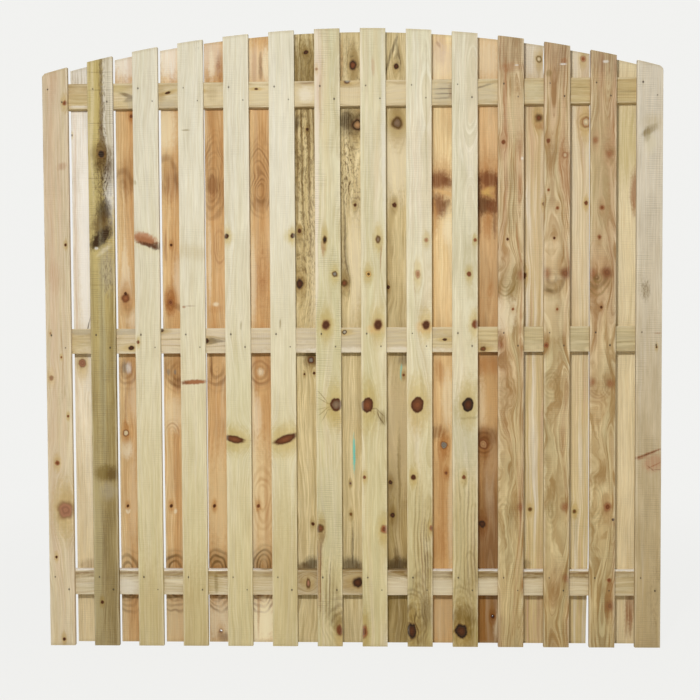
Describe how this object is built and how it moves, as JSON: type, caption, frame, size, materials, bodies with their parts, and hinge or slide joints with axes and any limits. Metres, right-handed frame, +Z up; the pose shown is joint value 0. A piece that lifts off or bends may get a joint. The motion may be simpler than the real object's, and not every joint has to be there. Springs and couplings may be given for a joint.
{
  "type": "paling fence panel",
  "caption": "Arch-topped paling fence panel: sawn timber palings nailed to both faces of horizontal rails, staggered so that each covers a gap, made to fit between fence posts.",
  "frame": {"origin": "on the ground, under the middle of the panel", "axes": "+X along the fence, +Z up, the front faces -Y"},
  "size_m": [1.83, 0.064, 1.835],
  "materials": {
    "pale_timber": "sawn, pressure treated, pale green sapwood",
    "pink_timber": "sawn, pressure treated, pinkish brown",
    "olive_timber": "sawn, pressure treated, olive yellow",
    "orange_timber": "sawn, pressure treated, orange heartwood",
    "grey_timber": "sawn, pressure treated, greyed",
    "tan_timber": "sawn, pressure treated, tan",
    "rail_timber": "sawn, pressure treated",
    "nail_steel": "dull, darkened steel wire"
  },
  "bodies": {
    "root": {"front_paling_01": "pink_timber", "front_paling_02": "olive_timber", "front_paling_03": "pale_timber", "front_paling_04": "pale_timber", "front_paling_05": "pale_timber", "front_paling_06": "pale_timber", "front_paling_07": "pale_timber", "front_paling_08": "pale_timber", "front_paling_09": "pale_timber", "front_paling_10": "pale_timber", "front_paling_11": "pink_timber", "front_paling_12": "pink_timber", "front_paling_13": "pink_timber", "front_paling_14": "grey_timber", "back_paling_01": "pale_timber", "back_paling_02": "orange_timber", "back_paling_03": "orange_timber", "back_paling_04": "orange_timber", "back_paling_05": "orange_timber", "back_paling_06": "olive_timber", "back_paling_07": "olive_timber", "back_paling_08": "olive_timber", "back_paling_09": "orange_timber", "back_paling_10": "orange_timber", "back_paling_11": "tan_timber", "back_paling_12": "tan_timber", "back_paling_13": "tan_timber", "top_rail": "rail_timber", "middle_rail": "rail_timber", "bottom_rail": "rail_timber", "front_nails_top_rail": "nail_steel", "back_nails_top_rail": "nail_steel", "front_nails_middle_rail": "nail_steel", "back_nails_middle_rail": "nail_steel", "front_nails_bottom_rail": "nail_steel", "back_nails_bottom_rail": "nail_steel"}
  },
  "joints": []
}
